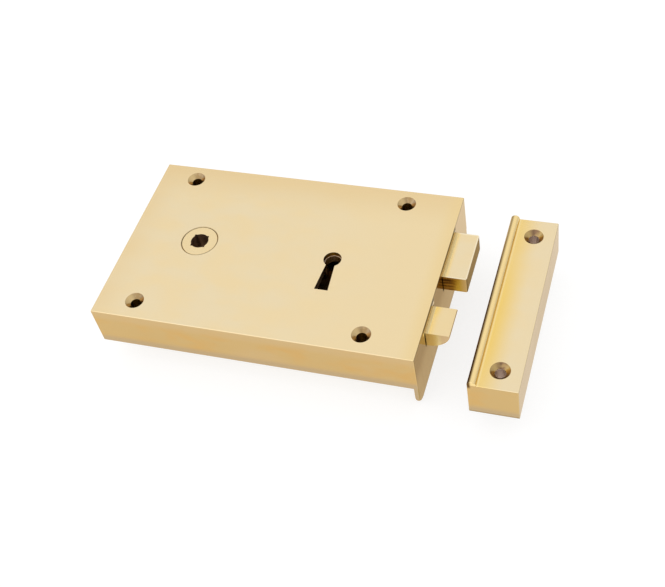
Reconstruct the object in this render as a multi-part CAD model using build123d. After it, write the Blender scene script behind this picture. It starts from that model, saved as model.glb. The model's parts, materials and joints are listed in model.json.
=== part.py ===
from build123d import *
import math
import os

# Rim lock with its box keep, in millimetres, lying on its back as it is fixed to a door.
# Pieces are drawn from the case's own corner: x runs from the far end of the case to the forend,
# y from the front edge to the back edge, and z from the door's face up to the visible face.
# They are then moved so that the origin is the middle of the four fixing holes, on the door's face.

# How far a cut runs past what it cuts, how far a joined shape runs into its neighbour, a press fit's play
OVER = 1.0
JOIN = 0.5
PRESS_PLAY = 0.02

# Case
CASE_LENGTH = 152.0
CASE_WIDTH = 96.0
CASE_HEIGHT = 21.0
WALL = 3.0
FACE_THICKNESS = 3.4
CEILING = CASE_HEIGHT - FACE_THICKNESS
CASE_EDGE = 0.4

# Forend lip, which wraps the edge of the door
LIP_DEPTH = 13.0
LIP_THICKNESS = 2.2
LIP_CORNER = 6.0
LIP_TIP = 0.9

# Fixing holes for countersunk wood screws
FIX_X = 18.2
FIX_Y = 9.6
FIX_SPACING_X = 108.0
FIX_SPACING_Y = 78.2
FIX_HOLE = 2.4
FIX_SINK = 4.4
PILLAR = 4.4

# Back cap and its machine screws
CAP_THICKNESS = 2.0
CAP_PLAY = 0.1
CAP_SCREW_X = (60.0, 134.0)
CAP_SCREW_INSET = 6.6
CAP_BOSS = 3.4
SCREW_SHANK = 1.45
SCREW_PLAY = 0.05
SCREW_DEPTH = 9.0
SCREW_HEAD = 2.8
SCREW_SLOT_WIDTH = 0.8
SCREW_SLOT_DEPTH = 0.6
SCREW_SLOT_REACH = 4.0

# Spindle follower
FOLLOWER_X = 35.0
FOLLOWER_Y = 49.2
FOLLOWER_BOSS = 8.55
FOLLOWER_HUB = 9.4
FOLLOWER_TAIL = 7.5
FOLLOWER_RECESS = 0.05
FOLLOWER_LOW = 0.1
HUB_GAP = 0.3
FACE_PLAY = 0.2
RUNNING_PLAY = 0.08
EDGE_BREAK = 0.15
SPINDLE_SQUARE = 7.1
SPINDLE_DRILL = 4.25
HORN_REACH = 20.0
HORN_TIP = 3.0
HORN_LOW = 13.3
HORN_HIGH = 16.7

# Keyhole
KEY_X = 101.3
KEY_Y = 48.7
KEY_CIRCLE = 4.2
KEY_DROP = 18.2
KEY_NECK = 3.7
KEY_FOOT = 6.4
COLLAR_BORE = 3.9
COLLAR_MOUTH = 4.6
COLLAR_OUTER = 5.4
COLLAR_TOP = 18.7
COLLAR_LOW = 15.0

# Both bolts
BOLT_TOP = CEILING - 0.3
MOUTH_PLAY = 0.7
MOUTH_TOP = BOLT_TOP + 0.4
STOP_PLAY = 0.3
THROW = 11.2
NOSE = CASE_LENGTH + THROW

# Deadbolt, drawn thrown
DEAD_FRONT = 50.0
DEAD_BACK = 77.0
DEAD_LOW = 8.0
DEAD_HEAD_REAR = 138.0
DEAD_EDGE = 0.8
TAIL_LOW = 14.1
TAIL_REAR = 62.5
TAIL_FRONT = 57.5
TAIL_BACK = 76.0
TALON_X = KEY_X + THROW / 2
TALON_WIDTH = 13.0
TALON_TOP = 65.4
TALON_CORNER = 1.5
STUMP_X = 94.5
STUMP_Y = 68.0
STUMP_SIZE = 4.0
STUMP_LOW = 5.6
STUMP_SPIGOT = 1.5
STUMP_CORNER = 0.4

# Pins that the deadbolt slides on
PIN_RADIUS = 2.5
SPIGOT_RADIUS = 2.0
SPIGOT_LENGTH = 1.6
SPIGOT_END_PLAY = 0.1
PIN_LOW = CAP_THICKNESS + 0.2
SLOT_PLAY = 0.1
PIVOT_X = 68.0
PIVOT_Y = 70.0
GUIDE_X = 118.0
GUIDE_COLLAR = 4.2
GUIDE_COLLAR_LOW = 12.0
GUIDE_COLLAR_HIGH = 13.8

# Levers, drawn lifted so that their gates line up with the stump
LEVER_THICKNESS = 2.0
LEVER_PITCH = 2.6
LEVER_FIRST_LOW = 11.2
LEVER_COUNT = 3
LEVER_BOSS = 7.0
LEVER_END = 112.0
LEVER_END_SLOPE = 3.0
LEVER_END_CORNER = 1.0
LEVER_BELLY = 59.0
LEVER_BELLY_X = 90.0
LEVER_NECK_X = 85.0
KEY_STEPS = (13.3, 12.7, 13.9)
GATE_WIDTH = 3.0
GATE_PLAY = 0.3
GATE_CUT = 4.0
POCKET_PLAY = 0.7
POCKET_SPARE = 0.4
POCKET_TOP = 73.4
WASHER_RADIUS = 4.2
WASHER_PLAY = 0.05
CLIP_LOW = 4.9
CLIP_THICKNESS = 0.6
CLIP_PLAY = 0.05
CLIP_GROOVE = 1.9
CLIP_OUTER = 3.8
CLIP_MOUTH = 2.2

# Lever springs, flat strips let into a saw cut in each lever
STRIP = 0.5
STRIP_WIDTH = 1.6
STRIP_X = 75.0
STRIP_RISE = 1.2
STRIP_BEND_X = 4.5
STRIP_BEND_Y = 5.4
STRIP_END_X = 106.0
STRIP_END_GAP = 0.8
SAW_CUT = 2.0
SAW_CUT_PLAY = 0.1

# Latch bolt, drawn out
LATCH_FRONT = 17.8
LATCH_BACK = 33.0
LATCH_LOW = 8.8
LATCH_HEAD_REAR = 139.5
NOSE_RADIUS = 10.5
NOSE_TIP = 0.6
LUG_LENGTH = 3.0
LUG_WIDTH = 1.6
LUG_INSET = 1.2
SHOULDER_LOW = 5.6
SHOULDER_LENGTH = 5.0
SHOULDER_WIDTH = 12.0
SHANK_LOW = 9.0
SHANK_HIGH = 13.0
SHANK_WIDTH = 7.0
SHANK_REAR = 16.5
LATCH_Y = (LATCH_FRONT + LATCH_BACK) / 2

# Yoke that the follower's horns push
YOKE_THICKNESS = 3.0
YOKE_GAP = 0.6
YOKE_SPINE_REAR = 16.5
YOKE_SPINE_WIDTH = 6.0
YOKE_FOOT = 20.0
YOKE_PRONG = 16.0
YOKE_CORNER = 1.2
RIVET_X = (20.5, 27.5)
RIVET_RADIUS = 1.6
RIVET_HEAD = 2.5
RIVET_HEAD_HEIGHT = 0.8

# Latch guide and spring
GUIDE_PLATE_X = 105.0
GUIDE_PLATE_THICKNESS = 3.0
GUIDE_PLATE_LOW = 5.6
GUIDE_PLATE_WIDTH = 12.0
GUIDE_FOOT_REAR = 94.0
GUIDE_FOOT_THICKNESS = 2.0
GUIDE_PLAY = 0.2
GUIDE_SCREW_X = 98.5
GUIDE_SCREW_LENGTH = 3.8
GUIDE_SCREW_HEAD = 1.4
COIL_RADIUS = 5.0
COIL_WIRE = 0.9
COIL_TURNS = 9
COIL_END_GAP = 0.15
COIL_STEPS = 24

# Keep, drawn where it lies beside the lock
KEEP_GAP = 23.8
KEEP_FORWARD = 6.2
KEEP_LENGTH = 95.0
KEEP_WIDTH = 21.8
KEEP_HEIGHT = 18.8
KEEP_BEAD = 4.0
KEEP_BEAD_FOOT = 0.1
KEEP_WALL = 2.4
KEEP_EDGE = 0.4
KEEP_CAVITY_FRONT = 16.0
KEEP_CAVITY_BACK = 81.2
KEEP_HOLE_X = 12.2
KEEP_HOLE_Y = 9.7
KEEP_HOLE_SPACING = 75.4

ORIGIN_X = FIX_X + FIX_SPACING_X / 2
ORIGIN_Y = FIX_Y + FIX_SPACING_Y / 2


def block(x0, x1, y0, y1, z0, z1):
    size = Box(x1 - x0, y1 - y0, z1 - z0, align=(Align.MIN, Align.MIN, Align.MIN))
    return Pos(x0, y0, z0) * size


def rod(x, y, z0, z1, radius):
    return Pos(x, y, z0) * Cylinder(radius, z1 - z0, align=(Align.CENTER, Align.CENTER, Align.MIN))


def cone(x, y, z0, z1, low_radius, high_radius):
    shape = Cone(low_radius, high_radius, z1 - z0, align=(Align.CENTER, Align.CENTER, Align.MIN))
    return Pos(x, y, z0) * shape


def slab(face, z0, z1):
    return extrude(Pos(0, 0, z0) * face, z1 - z0)


def rectangle(x0, x1, y0, y1):
    return Pos(x0, y0) * Rectangle(x1 - x0, y1 - y0, align=(Align.MIN, Align.MIN))


def screw_hole(x, y, top):
    # A clearance hole with a 90 degree countersink in the visible face
    depth = FIX_SINK - FIX_HOLE
    return rod(x, y, -OVER, top + OVER, FIX_HOLE) + cone(x, y, top - depth, top, FIX_HOLE, FIX_SINK)


def fixing_points():
    for i in (0, 1):
        for j in (0, 1):
            yield FIX_X + i * FIX_SPACING_X, FIX_Y + j * FIX_SPACING_Y


def cap_screw_points():
    for x in CAP_SCREW_X:
        yield x, CAP_SCREW_INSET
        yield x, CASE_WIDTH - CAP_SCREW_INSET


def keyhole_face(circle, neck, foot):
    bottom = KEY_Y - KEY_DROP
    slot = make_face(
        Polyline(
            (KEY_X - neck / 2, KEY_Y),
            (KEY_X + neck / 2, KEY_Y),
            (KEY_X + foot / 2, bottom),
            (KEY_X - foot / 2, bottom),
            close=True,
        )
    )
    return Pos(KEY_X, KEY_Y) * Circle(circle) + slot


def forend_lip():
    # Its two lower corners are well rounded and its free edge is nearly a full round
    x0 = CASE_LENGTH - LIP_THICKNESS
    lip = block(x0, CASE_LENGTH, 0, CASE_WIDTH, -LIP_DEPTH, JOIN)
    corners = [e for e in lip.edges().filter_by(Axis.X) if e.center().Z < 0]
    lip = fillet(corners, LIP_CORNER)
    low = LIP_CORNER / 2 - LIP_DEPTH
    rim = [e for e in lip.edges() if e.center().Z < low and e.length > 2 * LIP_THICKNESS]
    return fillet(rim, LIP_TIP)


def case():
    body = block(0, CASE_LENGTH, 0, CASE_WIDTH, 0, CASE_HEIGHT)
    crisp = body.edges().filter_by(Axis.Z) + body.edges().group_by(Axis.Z)[-1]
    body = fillet(crisp, CASE_EDGE)
    body += forend_lip()
    body -= block(WALL, CASE_LENGTH - WALL, WALL, CASE_WIDTH - WALL, -PRESS_PLAY, CEILING)
    for x, y in fixing_points():
        body += rod(x, y, 0, CEILING + JOIN, PILLAR)
        body -= screw_hole(x, y, CASE_HEIGHT)
    for x, y in cap_screw_points():
        body += rod(x, y, CAP_THICKNESS, CEILING + JOIN, CAP_BOSS)
        body -= rod(x, y, 0, CAP_THICKNESS + SCREW_DEPTH, SCREW_SHANK + SCREW_PLAY)
    body -= bolt_mouths()
    body -= follower_seat()
    body -= slab(keyhole_face(KEY_CIRCLE, KEY_NECK, KEY_FOOT), CEILING - OVER, CASE_HEIGHT + OVER)
    body -= rod(KEY_X, KEY_Y, CEILING - OVER, COLLAR_TOP, COLLAR_OUTER)
    for x in (PIVOT_X, GUIDE_X):
        body -= rod(x, PIVOT_Y, CEILING - OVER, CEILING + SPIGOT_LENGTH, SPIGOT_RADIUS + PRESS_PLAY)
    thread_end = CEILING + GUIDE_SCREW_LENGTH - GUIDE_FOOT_THICKNESS + JOIN
    return body - rod(GUIDE_SCREW_X, LATCH_Y, CEILING - OVER, thread_end, SCREW_SHANK + SCREW_PLAY)


def bolt_mouths():
    inside = CASE_LENGTH - WALL - OVER
    outside = CASE_LENGTH + OVER
    play = MOUTH_PLAY
    dead = block(inside, outside, DEAD_FRONT - play, DEAD_BACK + play, DEAD_LOW - play, MOUTH_TOP)
    latch = block(inside, outside, LATCH_FRONT - play, LATCH_BACK + play, LATCH_LOW - play, MOUTH_TOP)
    return dead + latch


def follower_seat():
    bore = FOLLOWER_BOSS + FACE_PLAY
    seat = rod(FOLLOWER_X, FOLLOWER_Y, CEILING - OVER, CASE_HEIGHT + OVER, bore)
    top = CASE_HEIGHT - EDGE_BREAK
    return seat + cone(FOLLOWER_X, FOLLOWER_Y, top, CASE_HEIGHT, bore, bore + EDGE_BREAK)


def cap():
    low = WALL + CAP_PLAY
    plate = block(low, CASE_LENGTH - low, low, CASE_WIDTH - low, 0, CAP_THICKNESS)
    above = CAP_THICKNESS + OVER
    plate -= rod(FOLLOWER_X, FOLLOWER_Y, -OVER, above, FOLLOWER_TAIL + RUNNING_PLAY)
    plate -= slab(keyhole_face(KEY_CIRCLE, KEY_NECK, KEY_FOOT), -OVER, above)
    for x, y in fixing_points():
        plate -= rod(x, y, -OVER, above, PILLAR + CAP_PLAY)
    for x, y in cap_screw_points():
        plate -= rod(x, y, -OVER, above, SCREW_SHANK + CAP_PLAY)
        sink = SCREW_HEAD + CAP_PLAY
        plate -= cone(x, y, 0, sink - SCREW_SHANK - CAP_PLAY, sink, SCREW_SHANK + CAP_PLAY)
    return plate


def machine_screw(x, y, head, depth):
    # Slotted countersunk screw whose head lies at height "head" and whose shank points up
    taper = SCREW_HEAD - SCREW_SHANK
    screw = cone(x, y, head, head + taper, SCREW_HEAD, SCREW_SHANK)
    screw += rod(x, y, head + taper, head + depth, SCREW_SHANK)
    half = SCREW_SLOT_WIDTH / 2
    ends = (x - SCREW_SLOT_REACH, x + SCREW_SLOT_REACH)
    return screw - block(*ends, y - half, y + half, head - OVER, head + SCREW_SLOT_DEPTH)


def cap_screws():
    length = CAP_THICKNESS + SCREW_DEPTH - OVER
    return Compound([machine_screw(x, y, SCREW_PLAY, length) for x, y in cap_screw_points()])


def spindle_follower():
    x, y = FOLLOWER_X, FOLLOWER_Y
    top = CASE_HEIGHT - FOLLOWER_RECESS
    body = rod(x, y, FOLLOWER_LOW, CEILING / 2, FOLLOWER_TAIL)
    body += rod(x, y, CAP_THICKNESS + HUB_GAP, CEILING - HUB_GAP, FOLLOWER_HUB)
    body += rod(x, y, CEILING / 2, top - EDGE_BREAK, FOLLOWER_BOSS)
    body += cone(x, y, top - EDGE_BREAK, top, FOLLOWER_BOSS, FOLLOWER_BOSS - EDGE_BREAK)
    for side in (-1, 1):
        tip = y + side * HORN_REACH
        low, high = sorted((y, tip))
        body += block(x - HORN_TIP, x + HORN_TIP, low, high, HORN_LOW, HORN_HIGH)
        body += rod(x, tip, HORN_LOW, HORN_HIGH, HORN_TIP)
    square = Pos(x, y, CASE_HEIGHT / 2) * Box(SPINDLE_SQUARE, SPINDLE_SQUARE, CASE_HEIGHT + OVER)
    return body - square - rod(x, y, -OVER, CASE_HEIGHT + OVER, SPINDLE_DRILL)


def keyhole_collar():
    # Ring behind the keyhole, open where the key's bit passes
    low, high = COLLAR_LOW - OVER, COLLAR_TOP + OVER
    ring = rod(KEY_X, KEY_Y, COLLAR_LOW, COLLAR_TOP, COLLAR_OUTER - PRESS_PLAY)
    ring -= rod(KEY_X, KEY_Y, low, high, COLLAR_BORE)
    half = COLLAR_MOUTH / 2
    return ring - block(KEY_X - half, KEY_X + half, KEY_Y - COLLAR_OUTER - OVER, KEY_Y, low, high)


def pin_slot(x):
    # The deadbolt moves towards the far end, so each slot runs the other way from its pin
    half = PIN_RADIUS + SLOT_PLAY
    start = x - SLOT_PLAY
    end = x + THROW + SLOT_PLAY
    low, high = TAIL_LOW - OVER, BOLT_TOP + OVER
    slot = block(start, end, PIVOT_Y - half, PIVOT_Y + half, low, high)
    return slot + rod(start, PIVOT_Y, low, high, half) + rod(end, PIVOT_Y, low, high, half)


def deadbolt():
    head = block(DEAD_HEAD_REAR, NOSE, DEAD_FRONT, DEAD_BACK, DEAD_LOW, BOLT_TOP)
    outer = head.faces().sort_by(Axis.X)[-1].edges()
    low_edges = head.edges().filter_by(Axis.X).sort_by(Axis.Z)[:2]
    head = fillet(list(outer.sort_by(Axis.Z)[:-1]) + list(low_edges), DEAD_EDGE)
    tail = block(TAIL_REAR, DEAD_HEAD_REAR + JOIN, TAIL_FRONT, TAIL_BACK, TAIL_LOW, BOLT_TOP)
    low, high = TAIL_LOW - OVER, BOLT_TOP + OVER
    left = TALON_X - TALON_WIDTH / 2
    talon = block(left, left + TALON_WIDTH, TAIL_FRONT - OVER, TALON_TOP, low, high)
    talon = fillet(talon.edges().filter_by(Axis.Z).sort_by(Axis.Y)[-2:], TALON_CORNER)
    bolt = head + tail - talon - pin_slot(PIVOT_X) - pin_slot(GUIDE_X)
    return bolt - rod(STUMP_X, STUMP_Y, low, high, STUMP_SPIGOT + PRESS_PLAY)


def bolt_stump():
    half = STUMP_SIZE / 2
    post = block(STUMP_X - half, STUMP_X + half, STUMP_Y - half, STUMP_Y + half, STUMP_LOW, TAIL_LOW)
    post = fillet(post.edges().filter_by(Axis.Z), STUMP_CORNER)
    return post + rod(STUMP_X, STUMP_Y, TAIL_LOW - JOIN, BOLT_TOP - SPIGOT_END_PLAY, STUMP_SPIGOT)


def lever_low(index):
    return LEVER_FIRST_LOW - index * LEVER_PITCH


def lever_window():
    # Two pockets joined by the gate, which the stump passes when the lever is lifted
    half = STUMP_SIZE / 2
    gate = STUMP_X - THROW / 2
    low = STUMP_Y - half - GATE_PLAY
    rear = rectangle(STUMP_X - THROW - half - POCKET_PLAY, gate - GATE_WIDTH / 2, low, POCKET_TOP)
    end = STUMP_X + half + POCKET_PLAY + POCKET_SPARE
    front = rectangle(gate + GATE_WIDTH / 2, end, low, POCKET_TOP)
    return rear + front + rectangle(gate - GATE_CUT, gate + GATE_CUT, low, STUMP_Y + half + GATE_PLAY)


def lever(index):
    top = PIVOT_Y + LEVER_BOSS
    outline = make_face(
        Polyline(
            (PIVOT_X, top),
            (LEVER_END - LEVER_END_SLOPE, top),
            (LEVER_END, top - LEVER_END_SLOPE),
            (LEVER_END, LEVER_BELLY + LEVER_END_CORNER),
            (LEVER_END - LEVER_END_CORNER, LEVER_BELLY),
            (LEVER_BELLY_X, LEVER_BELLY),
            (LEVER_NECK_X, PIVOT_Y - LEVER_BOSS),
            (PIVOT_X, PIVOT_Y - LEVER_BOSS),
            close=True,
        )
    )
    outline += Pos(PIVOT_X, PIVOT_Y) * Circle(LEVER_BOSS)
    outline -= Pos(PIVOT_X, PIVOT_Y) * Circle(PIN_RADIUS + RUNNING_PLAY)
    outline -= Pos(KEY_X, KEY_Y) * Circle(KEY_STEPS[index])
    outline -= lever_window()
    half = STRIP / 2 + PRESS_PLAY
    outline -= rectangle(STRIP_X - half, STRIP_X + half, top - SAW_CUT, top + OVER)
    low = lever_low(index)
    return slab(outline, low, low + LEVER_THICKNESS)


def lever_spring(index):
    # A flat strip that rises from its saw cut and leans out to the side wall of the case
    top = PIVOT_Y + LEVER_BOSS
    wall = CASE_WIDTH - WALL
    stem = Line((STRIP_X, top - SAW_CUT + SAW_CUT_PLAY), (STRIP_X, top + STRIP_RISE))
    bend = TangentArc(stem @ 1, (STRIP_X + STRIP_BEND_X, top + STRIP_BEND_Y), tangent=stem % 1)
    blade = TangentArc(bend @ 1, (STRIP_END_X, wall - STRIP_END_GAP), tangent=bend % 1)
    strip = trace(Curve() + [stem, bend, blade], line_width=STRIP)
    low = lever_low(index) + (LEVER_THICKNESS - STRIP_WIDTH) / 2
    return slab(strip, low, low + STRIP_WIDTH)


def face_pin(x, low):
    # A pin whose thinner end is pressed into the inside of the case's face
    end = CEILING + SPIGOT_LENGTH - SPIGOT_END_PLAY
    return rod(x, PIVOT_Y, low, CEILING, PIN_RADIUS) + rod(x, PIVOT_Y, CEILING - JOIN, end, SPIGOT_RADIUS)


def lever_pivot():
    high = CLIP_LOW + CLIP_THICKNESS + CLIP_PLAY
    groove = rod(PIVOT_X, PIVOT_Y, CLIP_LOW - CLIP_PLAY, high, PIN_RADIUS + OVER)
    return face_pin(PIVOT_X, PIN_LOW) - (groove - rod(PIVOT_X, PIVOT_Y, 0, CEILING, CLIP_GROOVE))


def pivot_clip():
    # Open ring that snaps into the groove at the free end of the pivot
    half = CLIP_MOUTH / 2
    ring = Circle(CLIP_OUTER) - Circle(CLIP_GROOVE + PRESS_PLAY)
    ring -= rectangle(0, CLIP_OUTER + OVER, -half, half)
    return slab(Pos(PIVOT_X, PIVOT_Y) * ring, CLIP_LOW, CLIP_LOW + CLIP_THICKNESS)


def lever_washers():
    rings = []
    for index in range(LEVER_COUNT - 1):
        low = lever_low(index + 1) + LEVER_THICKNESS + WASHER_PLAY
        high = lever_low(index) - WASHER_PLAY
        ring = rod(PIVOT_X, PIVOT_Y, low, high, WASHER_RADIUS)
        rings.append(ring - rod(PIVOT_X, PIVOT_Y, low - OVER, high + OVER, PIN_RADIUS + PRESS_PLAY))
    return Compound(rings)


def bolt_guide_pin():
    collar = rod(GUIDE_X, PIVOT_Y, GUIDE_COLLAR_LOW, GUIDE_COLLAR_HIGH, GUIDE_COLLAR)
    return face_pin(GUIDE_X, GUIDE_COLLAR_LOW) + collar


def latch_head():
    # The door side of the nose is an arc that leaves the flat underside and ends at the tip
    rear = LATCH_HEAD_REAR
    turn = NOSE - math.sqrt(NOSE_RADIUS**2 - (LATCH_LOW + NOSE_RADIUS - BOLT_TOP) ** 2)
    outline = make_face(
        Polyline((NOSE, BOLT_TOP), (rear, BOLT_TOP), (rear, LATCH_LOW), (turn, LATCH_LOW))
        + TangentArc((turn, LATCH_LOW), (NOSE, BOLT_TOP), tangent=(1, 0))
    )
    head = extrude(Plane.XZ * outline, -(LATCH_BACK - LATCH_FRONT))
    head = Pos(0, LATCH_FRONT, 0) * head
    tip = head.edges().filter_by(Axis.Y).sort_by(Axis.X)[-1]
    return fillet(tip, NOSE_TIP)


def latch_bolt():
    # Lugs stop the head behind the forend, and the spring bears on a shoulder under it
    bolt = latch_head()
    stop = CASE_LENGTH - WALL - STOP_PLAY
    lugs = (LATCH_FRONT - LUG_WIDTH, LATCH_BACK + LUG_WIDTH, LATCH_LOW + LUG_INSET, BOLT_TOP - LUG_INSET)
    bolt += block(stop - LUG_LENGTH, stop, *lugs)
    rear = LATCH_HEAD_REAR
    half = SHOULDER_WIDTH / 2
    front, back = LATCH_Y - half, LATCH_Y + half
    bolt += block(rear, rear + SHOULDER_LENGTH, front, back, SHOULDER_LOW, LATCH_LOW + JOIN)
    half = SHANK_WIDTH / 2
    bolt += block(SHANK_REAR, rear + JOIN, LATCH_Y - half, LATCH_Y + half, SHANK_LOW, SHANK_HIGH)
    for x in RIVET_X:
        bolt -= rod(x, LATCH_Y, SHANK_LOW - OVER, SHANK_HIGH + OVER, RIVET_RADIUS + PRESS_PLAY)
    return bolt


def latch_yoke():
    # A prong beyond each horn, so that the spindle draws the latch whichever horn pushes
    push = FOLLOWER_X - HORN_TIP - YOKE_GAP
    far = 2 * FOLLOWER_Y - YOKE_FOOT
    outline = rectangle(YOKE_SPINE_REAR, YOKE_SPINE_REAR + YOKE_SPINE_WIDTH, YOKE_FOOT, far)
    outline += rectangle(YOKE_SPINE_REAR, push, YOKE_FOOT, YOKE_FOOT + YOKE_PRONG)
    outline += rectangle(YOKE_SPINE_REAR, push, far - YOKE_PRONG, far)
    outline = fillet(outline.vertices(), YOKE_CORNER)
    for x in RIVET_X:
        outline -= Pos(x, LATCH_Y) * Circle(RIVET_RADIUS + PRESS_PLAY)
    return slab(outline, SHANK_HIGH, SHANK_HIGH + YOKE_THICKNESS)


def yoke_rivets():
    rivets = []
    top = SHANK_HIGH + YOKE_THICKNESS
    for x in RIVET_X:
        rivet = rod(x, LATCH_Y, SHANK_LOW, top + RIVET_HEAD_HEIGHT / 2, RIVET_RADIUS)
        rivet += cone(x, LATCH_Y, top, top + RIVET_HEAD_HEIGHT, RIVET_HEAD, RIVET_RADIUS)
        rivets.append(rivet)
    return Compound(rivets)


def latch_guide():
    # Angle plate under the face, with a window that the shank slides through
    half = GUIDE_PLATE_WIDTH / 2
    front, back = LATCH_Y - half, LATCH_Y + half
    end = GUIDE_PLATE_X + GUIDE_PLATE_THICKNESS
    plate = block(GUIDE_PLATE_X, end, front, back, GUIDE_PLATE_LOW, CEILING)
    plate += block(GUIDE_FOOT_REAR, end, front, back, CEILING - GUIDE_FOOT_THICKNESS, CEILING)
    side = SHANK_WIDTH / 2 + GUIDE_PLAY
    low, high = SHANK_LOW - GUIDE_PLAY, SHANK_HIGH + GUIDE_PLAY
    plate -= block(GUIDE_PLATE_X - OVER, end + OVER, LATCH_Y - side, LATCH_Y + side, low, high)
    foot = CEILING - GUIDE_FOOT_THICKNESS
    return plate - rod(GUIDE_SCREW_X, LATCH_Y, foot - OVER, CEILING + OVER, SCREW_SHANK + CAP_PLAY)


def guide_screw():
    x = GUIDE_SCREW_X
    foot = CEILING - GUIDE_FOOT_THICKNESS
    head = foot - GUIDE_SCREW_HEAD
    screw = rod(x, LATCH_Y, foot, foot + GUIDE_SCREW_LENGTH, SCREW_SHANK)
    screw += rod(x, LATCH_Y, head, foot, SCREW_HEAD)
    half = SCREW_SLOT_WIDTH / 2
    ends = (x - SCREW_SLOT_REACH, x + SCREW_SLOT_REACH)
    return screw - block(*ends, LATCH_Y - half, LATCH_Y + half, head - OVER, head + SCREW_SLOT_DEPTH)


def coil_point(turn, start, pitch):
    # Place and direction of the spring's wire after so many turns about the latch's shank
    angle = 2 * math.pi * turn
    middle = (SHANK_LOW + SHANK_HIGH) / 2
    y = LATCH_Y + COIL_RADIUS * math.cos(angle)
    z = middle + COIL_RADIUS * math.sin(angle)
    speed = 2 * math.pi * COIL_RADIUS
    direction = Vector(pitch, -speed * math.sin(angle), speed * math.cos(angle))
    return Vector(start + pitch * turn, y, z), direction.normalized()


def coil_arcs(start, pitch):
    # Each quarter turn is two arcs that meet tangent to each other
    arcs = []
    for quarter in range(4 * COIL_TURNS):
        p0, t0 = coil_point(quarter / 4, start, pitch)
        p1, t1 = coil_point((quarter + 1) / 4, start, pitch)
        chord = p1 - p0
        both = t0 + t1
        a = both.dot(both) - 4
        b = -2 * chord.dot(both)
        reach = (-b - math.sqrt(b * b - 4 * a * chord.dot(chord))) / (2 * a)
        meet = (p0 + t0 * reach + p1 - t1 * reach) * 0.5
        first = TangentArc(p0, meet, tangent=t0)
        arcs += [first, TangentArc(meet, p1, tangent=first % 1)]
    return arcs


def latch_spring():
    low = GUIDE_PLATE_X + GUIDE_PLATE_THICKNESS + COIL_WIRE / 2 + COIL_END_GAP
    high = LATCH_HEAD_REAR - COIL_WIRE / 2 - COIL_END_GAP
    pitch = (high - low) / COIL_TURNS
    path = Wire(coil_arcs(low, pitch))
    place, direction = coil_point(0, low, pitch)
    section = Plane(origin=place, z_dir=direction) * Circle(COIL_WIRE / 2)
    points = [coil_point(step / COIL_STEPS, low, pitch)[0] for step in range(COIL_STEPS * COIL_TURNS + 1)]
    gaps = [(p - q).length for i, p in enumerate(points) for q in points[i + COIL_STEPS // 2:]]
    print("latch spring: least gap to itself", round(min(gaps) - COIL_WIRE, 2), "mm")
    return sweep(section, path=path)


def keep_section():
    # End view of the keep, with the round bead along the edge that faces the lock
    face = KEEP_HEIGHT
    foot = face - KEEP_BEAD_FOOT
    return make_face(
        Polyline((KEEP_BEAD, face), (KEEP_WIDTH, face), (KEEP_WIDTH, 0), (0, 0), (0, foot))
        + ThreePointArc((0, foot), (KEEP_BEAD / 2, CASE_HEIGHT), (KEEP_BEAD, face))
    )


def keep():
    body = extrude(Plane.XZ * keep_section(), -KEEP_LENGTH)
    along = body.edges().filter_by(Axis.Y)
    right = [e for e in along if e.center().X > KEEP_WIDTH - KEEP_EDGE and e.center().Z > KEEP_EDGE]
    ends = [e for e in body.edges() if e not in along and e.center().Z > KEEP_EDGE]
    body = fillet(right + ends, KEEP_EDGE)
    far_wall = KEEP_WIDTH - KEEP_WALL
    body -= block(-OVER, far_wall, KEEP_CAVITY_FRONT, KEEP_CAVITY_BACK, -OVER, CEILING)
    for step in (0, 1):
        body -= screw_hole(KEEP_HOLE_X, KEEP_HOLE_Y + step * KEEP_HOLE_SPACING, KEEP_HEIGHT)
    return Pos(CASE_LENGTH + KEEP_GAP, -KEEP_FORWARD, 0) * body


def save(node, shape):
    placed = Pos(-ORIGIN_X, -ORIGIN_Y, 0) * shape
    export_step(placed, f"parts/{node}.step")


def main():
    os.makedirs("parts", exist_ok=True)
    pieces = {
        "case": case(),
        "cap": cap(),
        "cap_screws": cap_screws(),
        "spindle_follower": spindle_follower(),
        "keyhole_collar": keyhole_collar(),
        "deadbolt": deadbolt(),
        "bolt_stump": bolt_stump(),
        "bolt_guide_pin": bolt_guide_pin(),
        "lever_pivot": lever_pivot(),
        "lever_washers": lever_washers(),
        "pivot_clip": pivot_clip(),
        "latch_bolt": latch_bolt(),
        "latch_yoke": latch_yoke(),
        "yoke_rivets": yoke_rivets(),
        "latch_guide": latch_guide(),
        "guide_screw": guide_screw(),
        "latch_spring": latch_spring(),
        "keep": keep(),
    }
    for index in range(LEVER_COUNT):
        pieces[f"lever_{index + 1}"] = lever(index)
        pieces[f"lever_spring_{index + 1}"] = lever_spring(index)
    for node, shape in pieces.items():
        save(node, shape)


main()
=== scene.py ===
import json

import bpy
from mathutils import Matrix, Vector

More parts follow.
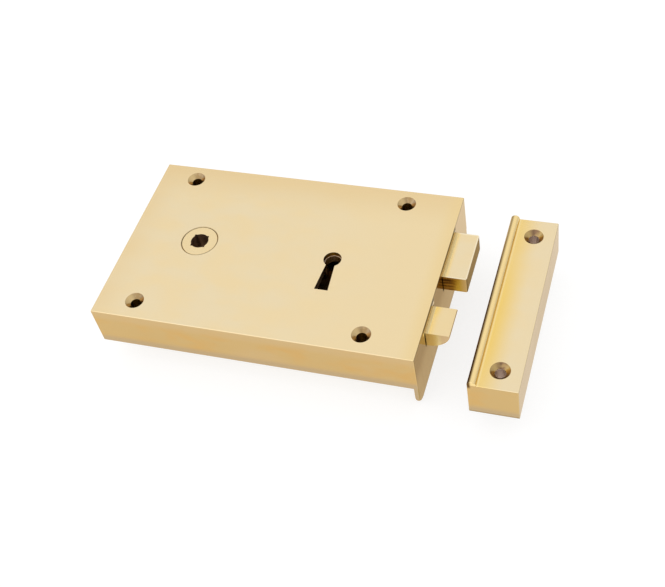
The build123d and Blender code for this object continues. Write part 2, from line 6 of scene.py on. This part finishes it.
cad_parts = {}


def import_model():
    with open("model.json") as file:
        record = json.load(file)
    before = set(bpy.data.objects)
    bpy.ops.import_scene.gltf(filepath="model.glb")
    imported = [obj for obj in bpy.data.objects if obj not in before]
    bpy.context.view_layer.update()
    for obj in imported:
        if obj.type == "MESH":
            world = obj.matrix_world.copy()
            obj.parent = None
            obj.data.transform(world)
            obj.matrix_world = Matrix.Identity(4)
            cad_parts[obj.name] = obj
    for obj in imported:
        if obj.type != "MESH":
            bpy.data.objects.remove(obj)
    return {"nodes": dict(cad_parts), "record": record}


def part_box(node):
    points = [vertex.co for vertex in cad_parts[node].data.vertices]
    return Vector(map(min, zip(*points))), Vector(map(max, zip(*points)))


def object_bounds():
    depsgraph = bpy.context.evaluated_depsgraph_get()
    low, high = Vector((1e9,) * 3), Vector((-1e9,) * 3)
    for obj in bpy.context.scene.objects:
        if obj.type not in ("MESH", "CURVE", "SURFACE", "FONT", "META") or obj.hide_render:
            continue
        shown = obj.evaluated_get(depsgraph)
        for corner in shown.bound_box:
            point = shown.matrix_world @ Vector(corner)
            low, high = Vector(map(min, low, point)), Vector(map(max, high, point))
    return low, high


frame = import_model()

CAD_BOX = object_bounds()
NODES = frame["nodes"]
MOUNTS = {mount["name"]: mount for mount in frame["record"]["mounts"]}

# Camera of the photograph, in metres and in the frame of the lock
CAMERA_PLACE = Vector((0.18284, -0.30769, 0.40009))
CAMERA_LOOK = Vector((-0.26264, 0.58799, -0.76504))
CAMERA_UP = Vector((-0.1337, 0.76305, 0.63235))
CAMERA_SHIFT = -0.060
LENS_MM = 60.80
SENSOR_MM = 36.0

MM = 0.001
X, Y, Z = 0, 1, 2

# Polished brass under a white sky, from the palest part of a face to the yellowest
PALE = (0.885, 0.735, 0.475)
CREAM = (0.905, 0.725, 0.430)
WARM = (0.865, 0.660, 0.360)
AMBER = (0.900, 0.685, 0.340)
YELLOW = (0.930, 0.655, 0.190)

# The same brass on its sides, bolts and keep, with the floor and the other pieces that they mirror painted
# into it as reflection and shade
SIDE_TAN = (0.640, 0.445, 0.195)
SIDE_ORANGE = (0.665, 0.425, 0.160)
SIDE_PINK = (0.645, 0.465, 0.240)
SIDE_FOOT = (0.540, 0.400, 0.230)
FOREND_TAN = (0.420, 0.290, 0.110)
FOREND_BROWN = (0.260, 0.150, 0.020)
FOREND_PALE = (0.640, 0.530, 0.360)
BAND_GOLD = (0.950, 0.680, 0.250)
STRIP_HIGHLIGHT = (0.980, 0.880, 0.650)
STRIP_SHADE = (0.040, 0.030, 0.005)
EDGE_HIGHLIGHT = (1.000, 0.900, 0.680)
REFLECTED_GOLD = (1.000, 0.800, 0.410)
BOLT_GOLD = (0.500, 0.290, 0.030)
BOLT_OLIVE = (0.980, 0.840, 0.400)
BOLT_TAN = (0.640, 0.455, 0.240)
BOLT_BROWN = (0.430, 0.250, 0.050)
DEAD_TAN = (0.550, 0.350, 0.125)
DEAD_END = (0.110, 0.065, 0.020)
KEEP_RIM = (0.970, 0.740, 0.350)
KEEP_RIGHT = (0.570, 0.480, 0.320)
KEEP_FLANK = (0.780, 0.630, 0.330)
DARK_OLIVE = (0.200, 0.130, 0.030)
DARK_BROWN = (0.120, 0.055, 0.012)

# Countersinks, painted with the reflection of their own far side; bores, painted with their shade; the
# keep's bores, painted pale with the floor seen through them
CONE_BROWN = (0.360, 0.240, 0.110)
CONE_OLIVE = (0.670, 0.490, 0.240)
CONE_PINK = (0.530, 0.390, 0.240)
KEEP_CONE_BROWN = (0.250, 0.150, 0.085)
KEEP_CONE_GOLD = (0.560, 0.390, 0.160)
HOLE_FAR = (0.320, 0.160, 0.020)
HOLE_SIDE = (0.090, 0.045, 0.022)
KEEP_HOLE = (0.880, 0.780, 0.720)
SPINDLE_HOLE = (0.300, 0.200, 0.130)
COLLAR_PALE = (0.900, 0.760, 0.600)
COLLAR_DULL = (0.700, 0.540, 0.380)

# What brass turns to in very slanting light, as a share of a plain mirror's
EDGE_TINT = (0.90, 0.77, 0.60)
DEAD_END_TINT = (0.78, 0.60, 0.37)

MACHINED = (0.80, 0.60, 0.30)
INNER = (0.78, 0.56, 0.25)
INNER_DARK = (0.60, 0.38, 0.12)
STEEL = (0.62, 0.61, 0.58)
STEEL_DARK = (0.44, 0.43, 0.41)
SPRING_DARK = (0.25, 0.25, 0.27)
WHITE = (1.0, 1.0, 1.0)

# Fine lines left by the polishing belt, in lines per metre across and along the stroke
GRAIN_ACROSS = 2600.0
GRAIN_ALONG = 60.0

# Other noises in the brass, in features to the metre along X, Y and Z
CLOUDS = (45, 70, 70)
BLOTCHES = (50, 90, 90)
PINK_PATCHES = (30, 60, 60)
SMUDGES = (24, 24, 24)
SWAY = (26, 40, 40)
LEFT_PATCHES = (20, 50, 50)
FOREND_STREAKS = (60, 160, 14)
BOLT_STREAKS = (90, 90, 700)
SINK_MOTTLE = (420, 420, 420)
COLLAR_STAINS = (300, 300, 300)

# How far colours reach over a piece from one of its edges
CREAM_START = 60 * MM
BACK_BAND = 22 * MM
LEFT_BAND = 16 * MM
RIGHT_BAND = 9 * MM
STRIP_GOLD = 1.1 * MM
DEAD_BAND = 3.6 * MM
LATCH_BAND = 5 * MM
KEEP_YELLOW = 16 * MM
FOOT_BAND_START = 5.5 * MM
FOOT_BAND_FULL = 1.5 * MM

# Sizes of the pieces that their boxes don't give
FOLLOWER_BORE = 8.75 * MM
SINK_RADIUS = 4.4 * MM
INNER_MARGIN = 4.5 * MM
BEAD_WIDTH = 4.0 * MM
BEAD_RISE = 2.2 * MM

HOLE_ROUGHNESS = 0.50
ROOT_ROUGHNESS = 0.40

# Floor, sky and lamp
FLOOR_DROP = 0.2 * MM
FLOOR_HALF = 4.0
FLOOR_LIFT = 0.79
FLOOR_PATCHES = (3, 3, 3)
FLOOR_PALE = (0.27, 0.27, 0.27)
FLOOR_GREY = (0.25, 0.25, 0.25)
HORIZON_STRENGTH = 0.62
SKY_STRENGTH = 0.94
SKY_RISE = 0.7
LAMP_PLACE = (-0.75, -0.60, 1.25)
LAMP_AIM = (0.02, 0.0, 0.0)
LAMP_WIDTH = 2.4
LAMP_POWER = 6.0


class Shader:
    """A material whose nodes are added one by one; a value that is a socket is linked."""

    def __init__(self, name, seed=0):
        self.material = bpy.data.materials.new(name)
        self.material.use_nodes = True
        self.nodes = self.material.node_tree.nodes
        self.links = self.material.node_tree.links
        self.nodes.clear()
        self.out = self.nodes.new("ShaderNodeOutputMaterial")
        self.shift = (seed * 0.37, seed * 0.21, seed * 0.53)
        self.coordinates = self.add("TexCoord").outputs
        self.where = self.add("SeparateXYZ", {0: self.coordinates["Object"]}).outputs
        self.normal = self.add("SeparateXYZ", {0: self.coordinates["Normal"]}).outputs

    def add(self, kind, inputs=None, **settings):
        made = self.nodes.new("ShaderNode" + kind)
        for key, value in settings.items():
            setattr(made, key, value)
        for key, value in (inputs or {}).items():
            self.put(made.inputs[key], value)
        return made

    def put(self, socket, value):
        if isinstance(value, bpy.types.NodeSocket):
            self.links.new(value, socket)
        elif socket.type == "RGBA" and len(value) == 3:
            socket.default_value = (*value, 1.0)
        else:
            socket.default_value = value

    def maths(self, operation, a, b=0.0, clamp=False):
        made = self.add("Math", {0: a, 1: b}, operation=operation, use_clamp=clamp)
        return made.outputs[0]

    def ramp(self, value, low, high, to_low=0.0, to_high=1.0):
        """value from low to high becomes to_low to to_high, with soft ends."""
        inputs = {"Value": value, "From Min": low, "From Max": high, "To Min": to_low, "To Max": to_high}
        return self.add("MapRange", inputs, interpolation_type="SMOOTHSTEP").outputs["Result"]

    def mix(self, factor, a, b):
        made = self.add("Mix", data_type="RGBA")
        self.put(made.inputs[0], factor)
        self.put(made.inputs[6], a)
        self.put(made.inputs[7], b)
        return made.outputs[2]

    def blend(self, factor, a, b):
        made = self.add("Mix", data_type="FLOAT")
        self.put(made.inputs[0], factor)
        self.put(made.inputs[2], a)
        self.put(made.inputs[3], b)
        return made.outputs[0]

    def noise(self, stretch, detail=2.0, roughness=0.5, distortion=0.0):
        """Noise with so many features to the metre along X, Y and Z."""
        inputs = {"Vector": self.coordinates["Object"], "Scale": stretch, "Location": self.shift}
        place = self.add("Mapping", inputs).outputs["Vector"]
        inputs = {
            "Vector": place,
            "Scale": 1.0,
            "Detail": detail,
            "Roughness": roughness,
            "Distortion": distortion,
        }
        return self.add("TexNoise", inputs).outputs["Fac"]

    def facing(self, axis, sign=1):
        """1 on the faces that look along the axis, or against it with a sign of -1."""
        return self.ramp(self.normal[axis], 0.55 * sign, 0.9 * sign)

    def past(self, axis, start, end):
        """0 up to start and 1 from end on, along the axis; end may also be the lower one."""
        return self.ramp(self.where[axis], start, end)

    def within(self, axis, low, high, soft):
        """1 between low and high along the axis, fading out over soft beyond both."""
        return self.all_of(self.past(axis, low - soft, low), self.past(axis, high + soft, high))

    def inner(self, node):
        """1 on what is cut into a piece, away from its outer sides as seen from above."""
        low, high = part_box(node)
        least = None
        for axis in (X, Y):
            middle = (low[axis] + high[axis]) / 2
            offset = self.maths("ABSOLUTE", self.maths("SUBTRACT", self.where[axis], middle))
            gap = self.maths("SUBTRACT", high[axis] - middle, offset)
            least = gap if least is None else self.maths("MINIMUM", least, gap)
        return self.ramp(least, INNER_MARGIN, INNER_MARGIN + 0.5 * MM)

    def sinks(self, mount):
        """1 in the countersunk holes of a mount, which the record places."""
        given = MOUNTS[mount]
        offsets = []
        for axis, spacing in ((X, "spacing_x_mm"), (Y, "spacing_y_mm")):
            offset = self.maths("ABSOLUTE", self.maths("SUBTRACT", self.where[axis], given["pos_m"][axis]))
            apart = given["dims"].get(spacing, 0.0) / 2 * MM
            offsets.append(self.maths("SUBTRACT", offset, apart))
        return self.ramp(self.length(*offsets), SINK_RADIUS + 0.3 * MM, SINK_RADIUS + 0.1 * MM)

    def length(self, a, b):
        """Length of the line that reaches a one way and b the other."""
        squares = [self.maths("POWER", self.maths("ABSOLUTE", value), 2.0) for value in (a, b)]
        return self.maths("SQRT", self.maths("ADD", *squares))

    def round_line(self, centre, radius, width):
        """1 on a line round a circle, fading out over its width."""
        offsets = [self.maths("SUBTRACT", self.where[axis], centre[axis]) for axis in (X, Y)]
        return self.ramp(self.length(*offsets), radius + width, radius)

    def walls(self):
        """1 on upright surfaces."""
        return self.ramp(self.maths("ABSOLUTE", self.normal[Z]), 0.40, 0.25)

    def slopes(self):
        """1 on surfaces that lean back by about 45 degrees."""
        rising = self.ramp(self.normal[Z], 0.40, 0.55)
        return self.all_of(rising, self.ramp(self.normal[Z], 0.92, 0.80))

    def unpolished_and_shaded(self, node):
        """1 where the belt doesn't reach, in holes: it sets their roughness, and in the case and the
        follower their painted shade.
        """
        return self.all_of(self.inner(node), self.walls())

    def bolt_root(self):
        """1 on a bolt's top right beside the forend, which gets a painted reflection of the forend and a
        higher roughness.
        """
        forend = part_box("case")[1].x
        return self.all_of(self.facing(Z), self.within(X, forend + 0.1 * MM, forend + 1.4 * MM, 0.3 * MM))

    def all_of(self, *masks):
        product = masks[0]
        for mask in masks[1:]:
            product = self.maths("MULTIPLY", product, mask)
        return product

    def edges(self, node, width):
        """1 on the outer edges of a block-shaped piece, fading out over width."""
        low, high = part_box(node)
        gaps = []
        for axis in (X, Y, Z):
            below = self.maths("SUBTRACT", self.where[axis], low[axis])
            above = self.maths("SUBTRACT", high[axis], self.where[axis])
            gaps.append(self.maths("MINIMUM", below, above))
        a, b, c = gaps
        second = self.maths("MINIMUM", self.maths("MAXIMUM", a, b), c)
        second = self.maths("MAXIMUM", self.maths("MINIMUM", a, b), second)
        return self.ramp(second, width, 0.0)

    def grain(self, across=GRAIN_ACROSS, along=GRAIN_ALONG):
        """Belt lines that run along X, and along Y on the faces that look along X."""
        lengthwise = self.noise((along, across, across), 4.0, 0.65)
        crosswise = self.noise((across, along, across), 4.0, 0.65)
        ends = self.ramp(self.maths("ABSOLUTE", self.normal[X]), 0.5, 0.8)
        return self.blend(ends, lengthwise, crosswise)

    def bump(self, layers):
        """Layers of (height, strength, depth in metres), each on top of the one before."""
        below = None
        for height, strength, depth in layers:
            made = self.add("Bump", {"Strength": strength, "Distance": depth, "Height": height})
            if below is not None:
                self.put(made.inputs["Normal"], below)
            below = made.outputs["Normal"]
        return below

    def metal(self, colour, roughness, normal, edge_tint=EDGE_TINT, metallic=1.0):
        inputs = {"Base Color": colour, "Metallic": metallic, "Roughness": roughness, "Normal": normal}
        inputs["Specular Tint"] = edge_tint
        made = self.add("BsdfPrincipled", inputs)
        self.links.new(made.outputs["BSDF"], self.out.inputs["Surface"])
        return self.material


def polished_brass(name, seed, node, tones, end_tint=None):
    """Cast brass, belted and buffed, with a painted reflection of the floor on its sides, darker than its
    face. tones paints what is particular to the piece.
    """
    s = Shader(name, seed)
    clouds = s.ramp(s.noise(CLOUDS, 3.0, 0.55), 0.32, 0.70)
    face = s.mix(clouds, PALE, CREAM)
    blotches = s.ramp(s.noise(BLOTCHES, 3.0, 0.6), 0.42, 0.68)
    # painted reflection on the sides: tan and orange, with pink patches
    side = s.mix(blotches, SIDE_TAN, SIDE_ORANGE)
    pink_patches = s.ramp(s.noise(PINK_PATCHES, 2.0, 0.5), 0.50, 0.75)
    side = s.mix(s.maths("MULTIPLY", pink_patches, 0.6), side, SIDE_PINK)
    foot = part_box(node)[0].z
    # the sides' painted reflection turns greyer near the foot
    side = s.mix(s.past(Z, foot + FOOT_BAND_START, foot + FOOT_BAND_FULL), side, SIDE_FOOT)
    colour = tones(s, s.mix(s.facing(Z), side, face))
    grain = s.grain()
    colour = s.mix(s.ramp(grain, 0.50, 0.85, 0.0, 0.05), colour, FOREND_BROWN)
    rim = s.edges(node, 0.7 * MM)
    colour = s.mix(s.maths("MULTIPLY", rim, 0.15), colour, PALE)
    smudge = s.noise(SMUDGES, 3.0, 0.6)
    roughness = s.blend(grain, s.ramp(smudge, 0.3, 0.7, 0.13, 0.18), s.ramp(smudge, 0.3, 0.7, 0.19, 0.25))
    roughness = s.blend(s.unpolished_and_shaded(node), roughness, HOLE_ROUGHNESS)
    # painted reflection of the forend on a bolt's top beside it
    root = s.bolt_root()
    colour = s.mix(root, colour, REFLECTED_GOLD)
    roughness = s.blend(root, roughness, ROOT_ROUGHNESS)
    sway = s.noise(SWAY, 2.0, 0.5)
    normal = s.bump([(sway, 0.15, 0.8 * MM), (grain, 0.06, 0.03 * MM)])
    if end_tint is None:
        return s.metal(colour, roughness, normal)
    return s.metal(colour, roughness, normal, s.mix(s.facing(X), EDGE_TINT, end_tint))


def case_tones(s, colour):
    """Warmer along the edges of the face, with painted reflection on the front side and the forend,
    painted shade in the holes, and the follower's ring.
    """
    low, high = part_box("case")
    face = s.facing(Z)
    colour = s.mix(s.all_of(face, s.past(X, low.x + CREAM_START, high.x)), colour, CREAM)
    back = s.all_of(face, s.past(Y, high.y - BACK_BAND, high.y))
    colour = s.mix(s.maths("MULTIPLY", back, 0.9), colour, WARM)
    left = s.all_of(face, s.past(X, low.x + LEFT_BAND, low.x), s.noise(LEFT_PATCHES, 2.0))
    colour = s.mix(left, colour, WARM)
    right = s.all_of(face, s.past(X, high.x - RIGHT_BAND, high.x))
    colour = s.mix(s.maths("MULTIPLY", right, 0.7), colour, AMBER)
    # painted reflection: the front side paler and pinker towards its top
    upper = s.all_of(s.facing(Y, -1), s.past(Z, high.z - 7 * MM, high.z - 2 * MM))
    colour = s.mix(s.maths("MULTIPLY", upper, 0.7), colour, SIDE_PINK)
    # the front side's painted reflection turns greyer near its foot
    foot_band = s.all_of(s.facing(Y, -1), s.past(Z, FOOT_BAND_START, FOOT_BAND_FULL))
    colour = s.mix(foot_band, colour, SIDE_FOOT)
    colour = forend_tones(s, colour, low, high)
    around = [(a + b) / 2 for a, b in zip(*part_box("spindle_follower"))]
    line = s.all_of(face, s.round_line(around, FOLLOWER_BORE, 0.5 * MM))
    colour = s.mix(s.maths("MULTIPLY", line, 0.5), colour, DARK_OLIVE)
    # countersinks with their painted reflection
    sinks = s.all_of(s.sinks("case_fixing"), s.slopes())
    colour = s.mix(sinks, colour, sink_tones(s, CONE_OLIVE, CONE_BROWN, CONE_PINK))
    # painted shade in the bores, lighter on the far walls
    hole = s.mix(s.ramp(s.normal[Y], -0.2, -0.7), HOLE_SIDE, HOLE_FAR)
    return s.mix(s.unpolished_and_shaded("case"), colour, hole)


def sink_tones(s, left, far, right):
    """A countersink's painted reflection of its far side, by the side that each part of it lies on."""
    mottle = s.ramp(s.noise(SINK_MOTTLE, 3.0, 0.6), 0.40, 0.65)
    far = s.mix(s.maths("MULTIPLY", mottle, 0.5), far, right)
    colour = s.mix(s.ramp(s.normal[X], 0.15, 0.65), far, left)
    return s.mix(s.ramp(s.normal[X], -0.15, -0.60), colour, right)


def forend_tones(s, colour, foot, corner):
    """Painted reflection of the floor: browner than the sides, pale past the deadbolt, dark along its
    edges, and over both bolts a painted highlight under a line of painted shade.
    """
    forend = s.facing(X)
    # painted reflection of the shaded floor, browner towards the top
    brown = s.mix(s.past(Z, corner.z - 20 * MM, corner.z - 8 * MM), FOREND_TAN, FOREND_BROWN)
    streaks = s.ramp(s.noise(FOREND_STREAKS, 2.0, 0.5), 0.35, 0.7, 0.0, 0.25)
    brown = s.mix(streaks, brown, FOREND_BROWN)
    dead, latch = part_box("deadbolt"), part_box("latch_bolt")
    # painted reflection: paler past the deadbolt
    brown = s.mix(s.past(Y, dead[1].y - 1 * MM, dead[1].y + 1 * MM), brown, FOREND_PALE)
    top_edge = s.past(Z, corner.z - 0.9 * MM, corner.z - 0.5 * MM)
    brown = s.mix(s.maths("MULTIPLY", top_edge, 0.5), brown, DARK_OLIVE)
    for low, high in (dead, latch):
        beside = s.within(Y, low.y - 0.3 * MM, high.y + 0.3 * MM, 0.4 * MM)
        over = s.past(Z, high.z - 0.2 * MM, high.z + 0.2 * MM)
        # painted highlight at each bolt's top, with painted shade in the gap above it
        brown = s.mix(s.all_of(over, beside), brown, STRIP_HIGHLIGHT)
        dark = s.past(Z, high.z + STRIP_GOLD, high.z + STRIP_GOLD + 0.5 * MM)
        brown = s.mix(s.all_of(dark, beside), brown, STRIP_SHADE)
    colour = s.mix(forend, colour, brown)
    low_edge = s.past(Z, foot.z + 1.5 * MM, foot.z + 0.7 * MM)
    return s.mix(s.maths("MULTIPLY", low_edge, 0.7), colour, DARK_OLIVE)


def top_band(s, colour, reach, amount):
    """Gold band on a bolt's top beside the forend, where the two mirror each other."""
    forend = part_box("case")[1].x
    band = s.all_of(s.facing(Z), s.past(X, forend + reach, forend + 1 * MM))
    return s.mix(s.maths("MULTIPLY", band, amount), colour, BAND_GOLD)


def deadbolt_tones(s, colour):
    """Bright on top with a painted highlight along its top edges, a painted reflection on its front in
    dark streaks near the forend, and a dark painted reflection on its end, darker at the back of its top.
    """
    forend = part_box("case")[1].x
    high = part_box("deadbolt")[1]
    colour = top_band(s, colour, DEAD_BAND, 0.9)
    outside = s.past(X, forend + 1 * MM, forend + 3 * MM)
    # painted highlight along the outer edges of the top
    bright = s.all_of(s.facing(Z), s.edges("deadbolt", 0.9 * MM), outside)
    colour = s.mix(s.maths("MULTIPLY", bright, 0.9), colour, EDGE_HIGHLIGHT)
    # painted reflection on the front: dark streaks near the forend, gold to tan further out
    streaks = s.ramp(s.noise(BOLT_STREAKS, 3.0, 0.6), 0.40, 0.60)
    near = s.mix(streaks, BOLT_BROWN, DARK_BROWN)
    far = s.mix(s.past(X, forend + 7 * MM, forend + 11 * MM), BOLT_GOLD, DEAD_TAN)
    side = s.mix(s.past(X, forend + 3 * MM, forend + 7 * MM), near, far)
    colour = s.mix(s.facing(Y, -1), colour, side)
    # painted reflection on the end, darker along its top and at the back of its top
    top = s.past(Z, high.z - 1.2 * MM, high.z - 0.4 * MM)
    end = s.mix(s.maths("MULTIPLY", top, 0.7), DEAD_END, DARK_BROWN)
    back = s.past(Y, high.y - 4 * MM, high.y - 2 * MM)
    dark_corner = s.all_of(back, s.past(Z, high.z - 4 * MM, high.z - 2 * MM))
    return s.mix(s.facing(X), colour, s.mix(dark_corner, end, HOLE_SIDE))


def latch_tones(s, colour):
    """Bright on top, yellowest at the back beside the forend, and with a painted olive reflection in front
    near the forend.
    """
    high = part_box("latch_bolt")[1]
    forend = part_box("case")[1].x
    colour = s.mix(s.maths("MULTIPLY", s.facing(Z), 0.5), colour, AMBER)
    colour = top_band(s, colour, LATCH_BAND, 1.0)
    back = s.past(Y, high.y - 9 * MM, high.y - 3 * MM)
    back_corner = s.all_of(s.facing(Z), s.past(X, forend + 6 * MM, forend), back)
    colour = s.mix(back_corner, colour, YELLOW)
    # painted reflection on the front: olive near the forend, tan further out
    side = s.mix(s.past(X, forend + 4 * MM, forend + 8 * MM), BOLT_OLIVE, BOLT_TAN)
    return s.mix(s.facing(Y, -1), colour, side)


def keep_tones(s, colour):
    """Yellower beside the bead and dark along the edge that faces the lock, both painted reflections, and
    pale on the right, with a painted reflection of the floor on its right side.
    """
    low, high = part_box("keep")
    face = s.facing(Z)
    # painted reflection: yellow beside the bead
    beside = s.past(X, low.x + KEEP_YELLOW, low.x + BEAD_WIDTH)
    middle = s.within(Y, low.y + 22 * MM, high.y - 48 * MM, 26 * MM)
    colour = s.mix(s.all_of(face, beside, s.blend(middle, 0.75, 1.0)), colour, YELLOW)
    right = s.all_of(face, s.past(X, low.x + 12 * MM, high.x))
    colour = s.mix(s.maths("MULTIPLY", right, 0.6), colour, PALE)
    bead = s.past(Z, high.z - BEAD_RISE, high.z - BEAD_RISE + 0.2 * MM)
    colour = s.mix(bead, colour, KEEP_RIM)
    # painted reflection of the lock along the edge that faces it
    outer = s.past(X, low.x + 2.0 * MM, low.x + 0.8 * MM)
    away = s.all_of(outer, s.past(Z, high.z - 5 * MM, high.z - 3 * MM))
    nearer = s.ramp(s.where[Y], high.y, low.y, 0.6, 1.0)
    colour = s.mix(s.all_of(away, nearer), colour, DARK_BROWN)
    foot_edge = s.past(Z, low.z + 1.0 * MM, low.z + 0.3 * MM)
    colour = s.mix(s.maths("MULTIPLY", foot_edge, 0.6), colour, DARK_OLIVE)
    flank = s.all_of(s.ramp(s.normal[X], 0.6, 0.95), s.past(X, low.x + 7 * MM, low.x + 6 * MM))
    colour = s.mix(flank, colour, KEEP_FLANK)
    # painted reflection in gold right beside the bead
    beside_bead = s.past(X, low.x + BEAD_WIDTH + 1.2 * MM, low.x + BEAD_WIDTH + 0.4 * MM)
    beside_bead = s.all_of(face, beside_bead, s.past(Z, high.z - 1.5 * MM, high.z - BEAD_RISE))
    colour = s.mix(s.maths("MULTIPLY", beside_bead, 0.6), colour, REFLECTED_GOLD)
    # painted reflection of the floor on the right side
    right_side = s.all_of(s.facing(X), s.past(X, high.x - 4 * MM, high.x - 2 * MM))
    colour = s.mix(right_side, colour, KEEP_RIGHT)
    # countersinks with their painted reflection; bores painted pale, standing in for the shaded floor seen
    # through them
    sinks = s.sinks("keep_fixing")
    cone = sink_tones(s, KEEP_CONE_GOLD, KEEP_CONE_BROWN, KEEP_CONE_GOLD)
    colour = s.mix(s.all_of(sinks, s.slopes()), colour, cone)
    return s.mix(s.all_of(sinks, s.walls()), colour, KEEP_HOLE)


def follower_tones(s, colour):
    colour = s.mix(s.maths("MULTIPLY", s.facing(Z), 0.4), colour, AMBER)
    # painted shade in the spindle's hole
    return s.mix(s.unpolished_and_shaded("spindle_follower"), colour, SPINDLE_HOLE)


def dull_collar(name, seed):
    """The collar behind the keyhole, dull with age, with painted shade on its walls inside."""
    s = Shader(name, seed)
    mottle = s.ramp(s.noise(COLLAR_STAINS, 3.0, 0.6), 0.40, 0.65)
    colour = s.mix(s.walls(), s.mix(mottle, COLLAR_PALE, COLLAR_DULL), DARK_BROWN)
    roughness = s.ramp(mottle, 0.0, 1.0, 0.45, 0.6)
    normal = s.bump([(mottle, 0.2, 0.1 * MM)])
    return s.metal(colour, roughness, normal, metallic=0.2)


def machined_brass(name, seed, colour, dark, roughness=0.30, across=3400.0):
    """Milled or drawn brass that was never buffed, with its tool marks."""
    s = Shader(name, seed)
    patches = s.ramp(s.noise((60, 60, 60), 4.0, 0.6), 0.35, 0.7)
    shade = s.mix(s.maths("MULTIPLY", patches, 0.5), colour, dark)
    grain = s.grain(across)
    shade = s.mix(s.ramp(grain, 0.45, 0.8, 0.0, 0.25), shade, FOREND_BROWN)
    rough = s.blend(grain, roughness - 0.05, roughness + 0.12)
    normal = s.bump([(patches, 0.15, 0.4 * MM), (grain, 0.18, 0.05 * MM)])
    return s.metal(shade, rough, normal)


def steel(name, seed, colour, dark, roughness=0.28):
    """Plain steel with fine turning or drawing lines and a faint oily film."""
    s = Shader(name, seed)
    film = s.ramp(s.noise((120, 120, 120), 4.0, 0.6), 0.35, 0.7)
    shade = s.mix(s.maths("MULTIPLY", film, 0.6), colour, dark)
    grain = s.grain(4200.0)
    rough = s.blend(grain, roughness - 0.06, roughness + 0.12)
    normal = s.bump([(film, 0.10, 0.2 * MM), (grain, 0.15, 0.04 * MM)])
    return s.metal(shade, rough, normal, WHITE)


def finish_nodes():
    finishes = {
        "case": polished_brass("polished_brass_case", 1, "case", case_tones),
        "keep": polished_brass("polished_brass_keep", 2, "keep", keep_tones),
        "deadbolt": polished_brass("bolt_brass_dead", 3, "deadbolt", deadbolt_tones, DEAD_END_TINT),
        "latch_bolt": polished_brass("bolt_brass_latch", 4, "latch_bolt", latch_tones),
        "spindle_follower": polished_brass("follower_brass", 5, "spindle_follower", follower_tones),
        "keyhole_collar": dull_collar("collar_brass", 10),
        "cap": machined_brass("cap_brass", 6, MACHINED, SIDE_TAN),
    }
    inner = machined_brass("inner_brass", 7, INNER, INNER_DARK)
    for node in ("lever_1", "lever_2", "lever_3", "latch_yoke", "bolt_stump"):
        finishes[node] = inner
    bright = steel("bright_steel", 8, STEEL, STEEL_DARK)
    fixings = ("cap_screws", "yoke_rivets", "guide_screw", "bolt_guide_pin", "lever_pivot")
    for node in fixings + ("latch_guide", "lever_washers", "pivot_clip"):
        finishes[node] = bright
    spring = steel("spring_steel", 9, STEEL_DARK, SPRING_DARK, 0.24)
    for node in ("latch_spring", "lever_spring_1", "lever_spring_2", "lever_spring_3"):
        finishes[node] = spring
    for node, piece in NODES.items():
        piece.data.materials.clear()
        piece.data.materials.append(finishes[node])


def camera():
    look = CAMERA_LOOK.normalized()
    right = look.cross(CAMERA_UP).normalized()
    up = right.cross(look)
    data = bpy.data.cameras.new("camera")
    data.lens = LENS_MM
    data.sensor_width = SENSOR_MM
    data.shift_x = CAMERA_SHIFT
    made = bpy.data.objects.new("camera", data)
    turn = Matrix((right, up, -look)).transposed().to_4x4()
    made.matrix_world = Matrix.Translation(CAMERA_PLACE) @ turn
    bpy.context.scene.collection.objects.link(made)
    bpy.context.scene.camera = made


def floor():
    """A pale floor. It shows a little lighter to the camera and in the metal, and keeps its shadows."""
    z = CAD_BOX[0][2] - FLOOR_DROP
    half = FLOOR_HALF
    mesh = bpy.data.meshes.new("floor")
    corners = [(-half, -half, z), (half, -half, z), (half, half, z), (-half, half, z)]
    mesh.from_pydata(corners, [], [(0, 1, 2, 3)])
    made = bpy.data.objects.new("floor", mesh)
    bpy.context.scene.collection.objects.link(made)
    s = Shader("floor")
    colour = s.mix(s.noise(FLOOR_PATCHES), FLOOR_PALE, FLOOR_GREY)
    base = s.add("BsdfPrincipled", {"Base Color": colour, "Roughness": 0.9})
    rays = s.add("LightPath").outputs
    seen = s.maths("ADD", rays["Is Camera Ray"], rays["Is Glossy Ray"])
    seen = s.maths("ADD", seen, rays["Is Transmission Ray"], True)
    lift = s.add("Emission", {"Color": (1, 1, 1), "Strength": s.maths("MULTIPLY", seen, FLOOR_LIFT)})
    both = s.add("AddShader", {0: base.outputs[0], 1: lift.outputs[0]})
    s.links.new(both.outputs[0], s.out.inputs["Surface"])
    mesh.materials.append(s.material)


def soft_box():
    data = bpy.data.lights.new("key", "AREA")
    data.shape = "SQUARE"
    data.size = LAMP_WIDTH
    data.energy = LAMP_POWER
    made = bpy.data.objects.new("key", data)
    aim = Vector(LAMP_AIM) - Vector(LAMP_PLACE)
    turn = aim.to_track_quat("-Z", "Y").to_matrix().to_4x4()
    made.matrix_world = Matrix.Translation(LAMP_PLACE) @ turn
    bpy.context.scene.collection.objects.link(made)


def world():
    """Plain sky, a little darker towards the horizon."""
    made = bpy.data.worlds.new("studio")
    bpy.context.scene.world = made
    made.use_nodes = True
    nodes, links = made.node_tree.nodes, made.node_tree.links
    place = nodes.new("ShaderNodeTexCoord")
    parts = nodes.new("ShaderNodeSeparateXYZ")
    links.new(place.outputs["Generated"], parts.inputs[0])
    height = nodes.new("ShaderNodeMapRange")
    height.inputs["From Min"].default_value = 0.0
    height.inputs["From Max"].default_value = SKY_RISE
    height.inputs["To Min"].default_value = HORIZON_STRENGTH
    height.inputs["To Max"].default_value = SKY_STRENGTH
    links.new(parts.outputs["Z"], height.inputs["Value"])
    links.new(height.outputs["Result"], nodes["Background"].inputs["Strength"])
    nodes["Background"].inputs["Color"].default_value = (1, 1, 1, 1)


finish_nodes()
camera()
floor()
world()
soft_box()
bpy.context.scene.view_settings.view_transform = "Standard"
